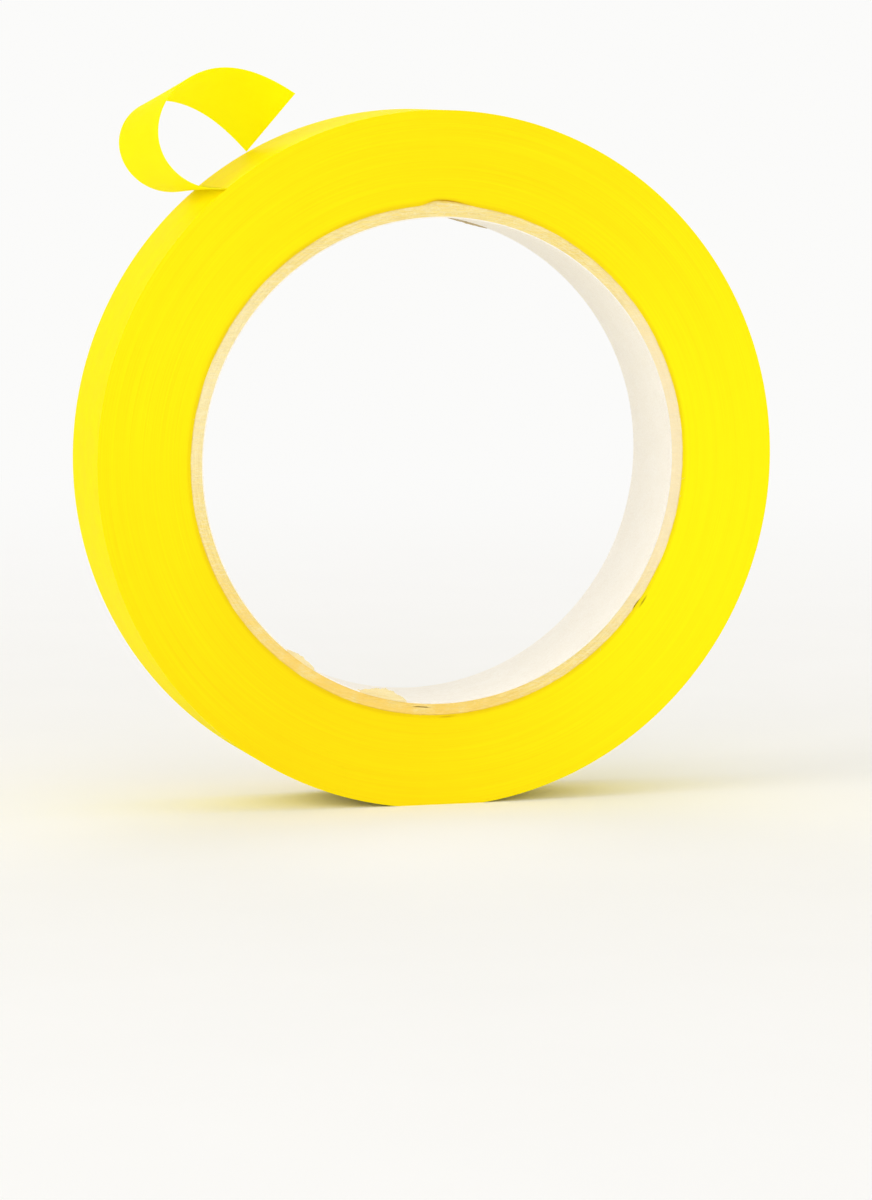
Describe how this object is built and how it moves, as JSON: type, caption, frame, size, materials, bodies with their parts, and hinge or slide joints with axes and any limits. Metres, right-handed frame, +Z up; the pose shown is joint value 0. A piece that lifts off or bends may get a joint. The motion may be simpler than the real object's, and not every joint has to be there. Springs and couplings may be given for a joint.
{
  "type": "masking tape roll",
  "caption": "Roll of yellow paper masking tape wound on a paper-lined board core, standing on its rim, with its free end peeled up and curled.",
  "frame": {"origin": "centre of the core's bore, halfway across the tape's width", "axes": "+Y along the roll's axis from the front face to the back face, +Z up with the roll standing on its rim, +X to the right seen from the front"},
  "size_m": [0.1096, 0.0224, 0.1158],
  "materials": {
    "liner_paper": "matte",
    "kraft_board": "matte",
    "tape_edges": "satin",
    "tape_backing": "satin"
  },
  "bodies": {
    "roll": {"core_liner": "liner_paper", "core_ply_inner": "kraft_board", "core_ply_middle": "kraft_board", "core_ply_outer": "kraft_board", "tape_pack": "tape_edges", "tape_outer_turn": "tape_backing"},
    "tail_start": {"tail_root": "tape_backing"},
    "tail_middle": {"tail_curl": "tape_backing"},
    "tail_top": {"tail_crown": "tape_backing"},
    "tail_tip": {"tail_end": "tape_backing"}
  },
  "joints": [
    {"name": "tape_unwind", "type": "hinge", "parent": "roll", "child": "tail_start", "pos_m": [0, 0, 0], "axis": [0, 1, 0], "continuous": true},
    {"name": "tail_flex", "type": "hinge", "parent": "tail_start", "child": "tail_middle", "pos_m": [-0.04166, 0.00013, 0.04376], "axis": [0.0135, -0.9921, 0.1244], "range_deg": [0, 45], "stiffness_Nm_per_rad": 0.0002},
    {"name": "tail_uncurl", "type": "hinge", "parent": "tail_middle", "child": "tail_top", "pos_m": [-0.04534, 0.00152, 0.05256], "axis": [0.1268, -0.9755, 0.1795], "range_deg": [0, 45], "stiffness_Nm_per_rad": 0.0002},
    {"name": "tail_straighten", "type": "hinge", "parent": "tail_top", "child": "tail_tip", "pos_m": [-0.0374, 0.00364, 0.05857], "axis": [0.1013, -0.9621, 0.2532], "range_deg": [0, 45], "stiffness_Nm_per_rad": 0.0002}
  ]
}
